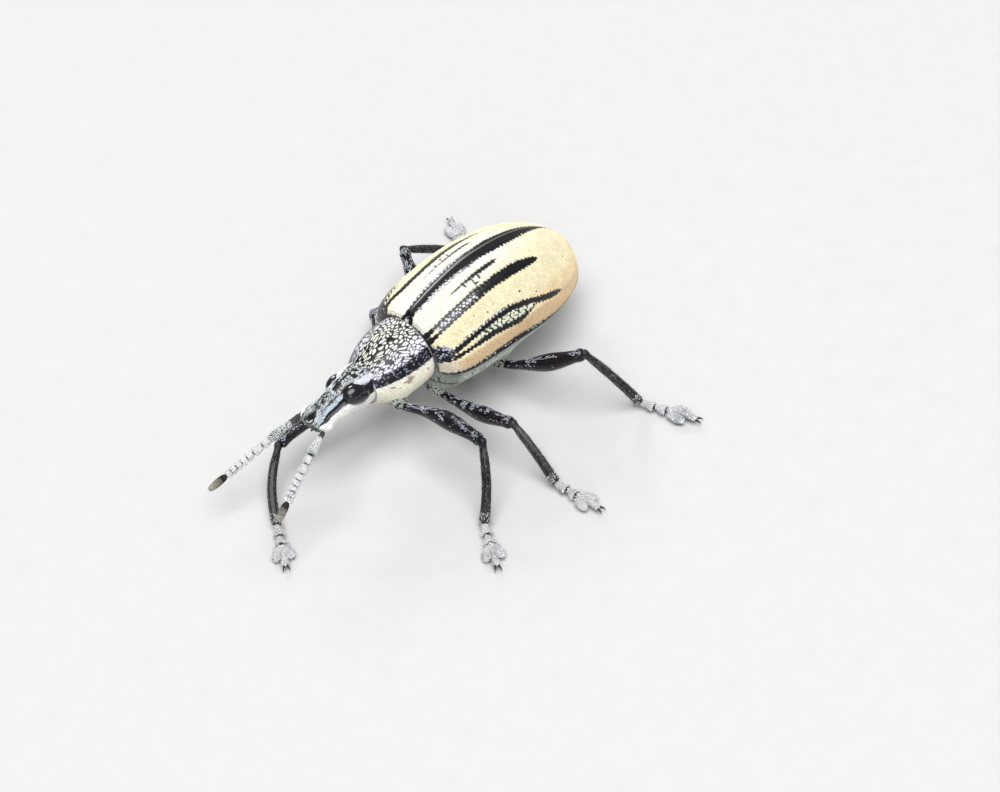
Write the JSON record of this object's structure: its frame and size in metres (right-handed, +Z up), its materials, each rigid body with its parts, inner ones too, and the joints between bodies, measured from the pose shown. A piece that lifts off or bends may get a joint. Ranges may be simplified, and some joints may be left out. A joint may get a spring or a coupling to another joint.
{
  "type": "citrus root weevil",
  "caption": "Life-size still model of a striped citrus root weevil standing on its six feet, snout and feelers held forward.",
  "frame": {"origin": "middle of the footprint of the body, legs and feelers, on the floor under the feet", "axes": "+Z up; the snout points to -Y and the tail to +Y; +X is the weevil's left"},
  "size_m": [0.0204, 0.0222, 0.0067],
  "materials": {
    "elytron": "glossy black cuticle under close-set cream and buff scales, with black stripes",
    "pronotum": "granular black cuticle with silvery and cream scales between the grains",
    "scutellum": "pale scales",
    "head": "black cuticle with silvery blue and white scales",
    "eye": "glossy black, very finely faceted",
    "underside": "pale grey-green scales",
    "scape": "dark cuticle with white scales, denser to the end",
    "funicle": "white scaled beads with dark joints",
    "club": "dark base and grey velvety tip",
    "coxa": "black cuticle with grey scales",
    "femur": "glossy black cuticle with sparse blue-white scales",
    "tibia": "dark grey cuticle with fine pale hairs",
    "tarsus": "grey-white hairy pads with dark joints",
    "claw": "grey joint with dark horny claws"
  },
  "bodies": {
    "root": {"abdomen": "underside", "claws_left_fore": "claw", "claws_left_hind": "claw", "claws_left_mid": "claw", "claws_right_fore": "claw", "claws_right_hind": "claw", "claws_right_mid": "claw", "club_left": "club", "club_right": "club", "coxa_left_fore": "coxa", "coxa_left_hind": "coxa", "coxa_left_mid": "coxa", "coxa_right_fore": "coxa", "coxa_right_hind": "coxa", "coxa_right_mid": "coxa", "elytron_left": "elytron", "elytron_right": "elytron", "eye_left": "eye", "eye_right": "eye", "femur_left_fore": "femur", "femur_left_hind": "femur", "femur_left_mid": "femur", "femur_right_fore": "femur", "femur_right_hind": "femur", "femur_right_mid": "femur", "funicle_left": "funicle", "funicle_right": "funicle", "head": "head", "pronotum": "pronotum", "scape_left": "scape", "scape_right": "scape", "scutellum": "scutellum", "tarsus_left_fore": "tarsus", "tarsus_left_hind": "tarsus", "tarsus_left_mid": "tarsus", "tarsus_right_fore": "tarsus", "tarsus_right_hind": "tarsus", "tarsus_right_mid": "tarsus", "thorax_underside": "underside", "tibia_left_fore": "tibia", "tibia_left_hind": "tibia", "tibia_left_mid": "tibia", "tibia_right_fore": "tibia", "tibia_right_hind": "tibia", "tibia_right_mid": "tibia"}
  },
  "joints": []
}
